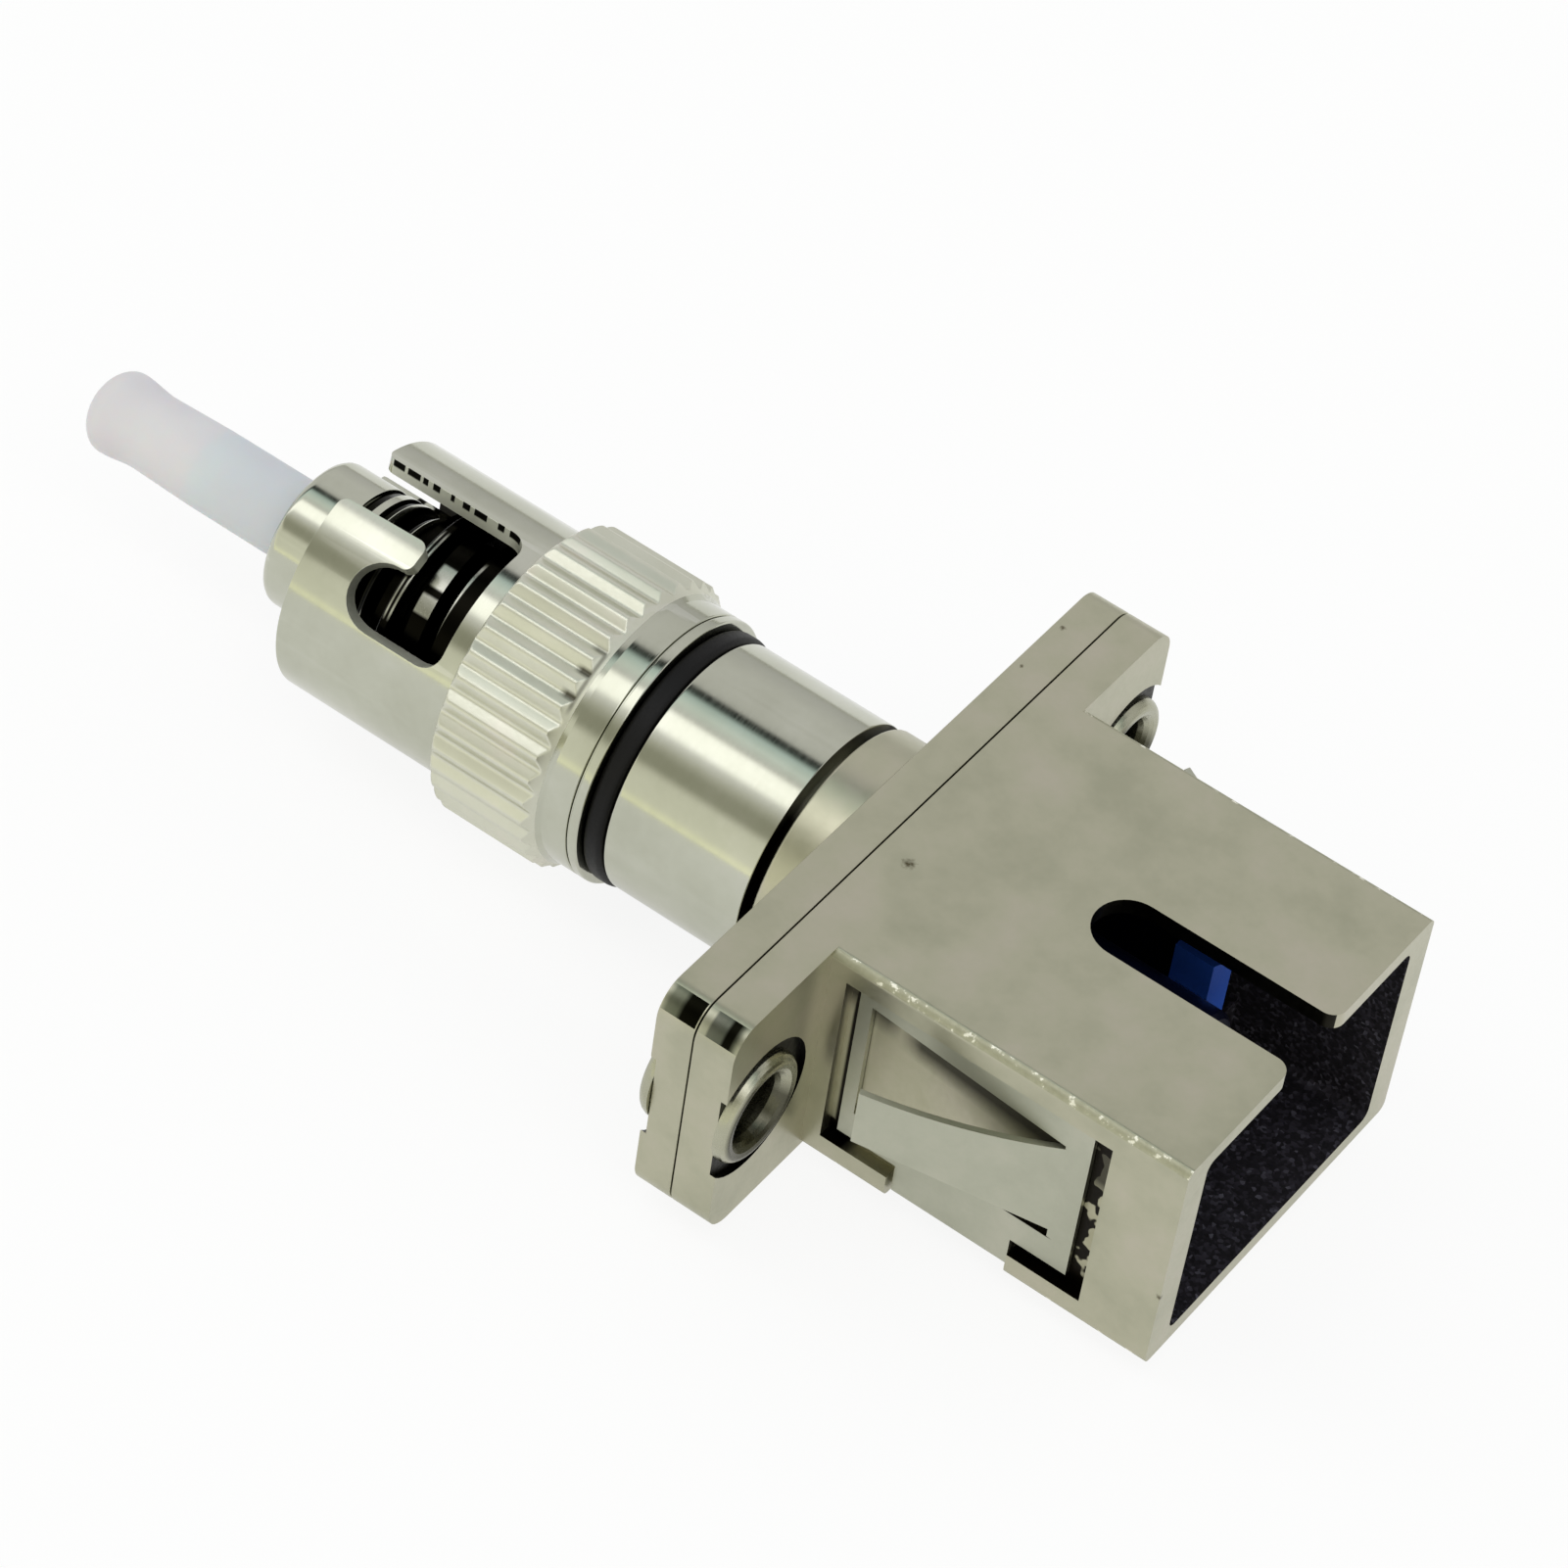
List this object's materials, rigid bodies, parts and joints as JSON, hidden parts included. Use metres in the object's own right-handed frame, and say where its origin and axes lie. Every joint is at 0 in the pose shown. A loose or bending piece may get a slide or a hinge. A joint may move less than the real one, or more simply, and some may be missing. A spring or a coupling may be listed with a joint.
{
  "type": "st to sc fibre adapter",
  "caption": "Nickel-plated hybrid fibre adapter with a sprung bayonet plug, capped ceramic ferrule, riveted panel flange and a rectangular push-in socket with panel clip.",
  "frame": {"origin": "on the optical axis, in the plane where the two flange halves meet, midway between the two eyelets", "axes": "+X along the optical axis out of the socket mouth, the plug points along -X, +Z is the keyway side, +Y along the flange"},
  "size_m": [0.0449, 0.0224, 0.0098],
  "materials": {
    "nickel_nut": "bright nickel plate",
    "nickel_body": "satin nickel plate",
    "bright_steel": "bright steel",
    "spring_sheet": "rolled spring sheet",
    "white_ceramic": "polished white ceramic",
    "milky_plastic": "soft milky plastic",
    "black_rubber": "black rubber",
    "blue_plastic": "moulded blue plastic",
    "fibre_coating": "fibre buffer coating"
  },
  "bodies": {
    "adapter": {"socket_housing": "nickel_body", "plug_flange": "nickel_body", "body_tube": "nickel_body", "plug_barrel": "nickel_body", "bumper_ring": "black_rubber", "ferrule": "white_ceramic", "ferrule_seat": "bright_steel", "snap_ring": "bright_steel", "spring_washer_front": "bright_steel", "coupling_spring": "bright_steel", "panel_clip": "spring_sheet", "eyelet_left": "bright_steel", "eyelet_right": "bright_steel", "sleeve_holder": "blue_plastic", "alignment_sleeve": "white_ceramic", "stub_ferrule": "white_ceramic", "stub_holder": "bright_steel", "fibre_link": "fibre_coating"},
    "nut_carrier": {"spring_washer_rear": "bright_steel"},
    "nut": {"coupling_nut": "nickel_nut", "nut_tail_ring": "nickel_nut"},
    "cap": {"ferrule_cap": "milky_plastic"}
  },
  "joints": [
    {"name": "nut_push", "type": "slide", "parent": "adapter", "child": "nut_carrier", "axis": [-1, 0, 0], "range_m": [0, 0.002], "stiffness_N_per_m": 1500, "springref_m": -0.0015, "deforming": ["coupling_spring"]},
    {"name": "nut_spin", "type": "hinge", "parent": "nut_carrier", "child": "nut", "pos_m": [-0.015, 0, 0], "axis": [1, 0, 0], "continuous": true},
    {"name": "cap_pull", "type": "slide", "parent": "adapter", "child": "cap", "axis": [-1, 0, 0], "range_m": [0, 0.012]}
  ]
}
